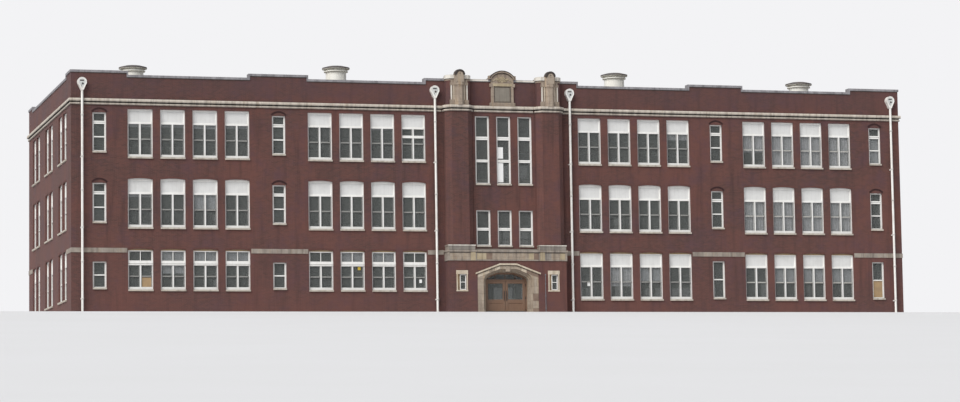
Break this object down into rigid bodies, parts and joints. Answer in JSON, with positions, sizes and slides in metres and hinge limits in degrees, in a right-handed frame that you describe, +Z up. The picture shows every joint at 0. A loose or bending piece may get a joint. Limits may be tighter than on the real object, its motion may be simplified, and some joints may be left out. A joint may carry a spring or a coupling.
{
  "type": "school building, scale model at 1:2",
  "caption": "Long flat-roofed brick school with stone cornice, grouped sash windows, two canted turrets at the entrance bay and hinged double doors.",
  "frame": {"origin": "middle of the ground outline, at ground level", "axes": "+X to the right along the front, +Y from the entrance front to the back, +Z up"},
  "size_m": [25.185, 9.651, 7.538],
  "materials": {
    "brick": "matt brick",
    "concrete": "matt",
    "roofing": "matt gravel roofing",
    "vent_metal": "matt paint",
    "stone": "dressed limestone",
    "coping_stone": "weathered stone",
    "window_paint": "painted",
    "glass": "clear",
    "panel_paint": "painted boards",
    "spout_paint": "painted",
    "door_wood": "varnished",
    "hinge_metal": "matt"
  },
  "bodies": {
    "building": {"front_wall_left": "brick", "front_wall_right": "brick", "bay_wall": "brick", "entrance_wall_left": "brick", "entrance_wall_right": "brick", "entrance_wall_over": "brick", "left_turret": "brick", "right_turret": "brick", "left_wall": "brick", "right_wall": "brick", "back_wall": "brick", "narrow_arches": "brick", "ground_floor": "concrete", "second_floor": "concrete", "third_floor": "concrete", "roof_deck": "roofing", "roof_vents": "vent_metal", "front_cornice": "stone", "rear_cornice": "stone", "string_course": "stone", "entrance_belt": "stone", "portal_surround": "stone", "portal_hood": "stone", "side_window_stones": "stone", "threshold": "stone", "turret_caps": "stone", "centre_tablet": "stone", "window_sills": "stone", "front_coping": "coping_stone", "rear_coping": "coping_stone", "front_frames": "window_paint", "bay_frames": "window_paint", "back_frames": "window_paint", "end_frames": "window_paint", "front_glass": "glass", "back_glass": "glass", "end_glass": "glass", "fanlight": "glass", "window_panels": "panel_paint", "downspouts": "spout_paint", "door_frame": "door_wood", "door_hinges": "hinge_metal"},
    "left_leaf": {"left_door": "door_wood", "left_door_glass": "glass"},
    "right_leaf": {"right_door": "door_wood", "right_door_glass": "glass"}
  },
  "joints": [
    {"name": "left_leaf_hinge", "type": "hinge", "parent": "building", "child": "left_leaf", "pos_m": [-0.597, -4.47, 0.5], "axis": [0, 0, -1], "range_deg": [0, 90]},
    {"name": "right_leaf_hinge", "type": "hinge", "parent": "building", "child": "right_leaf", "pos_m": [0.597, -4.47, 0.5], "axis": [0, 0, 1], "range_deg": [0, 90]}
  ]
}
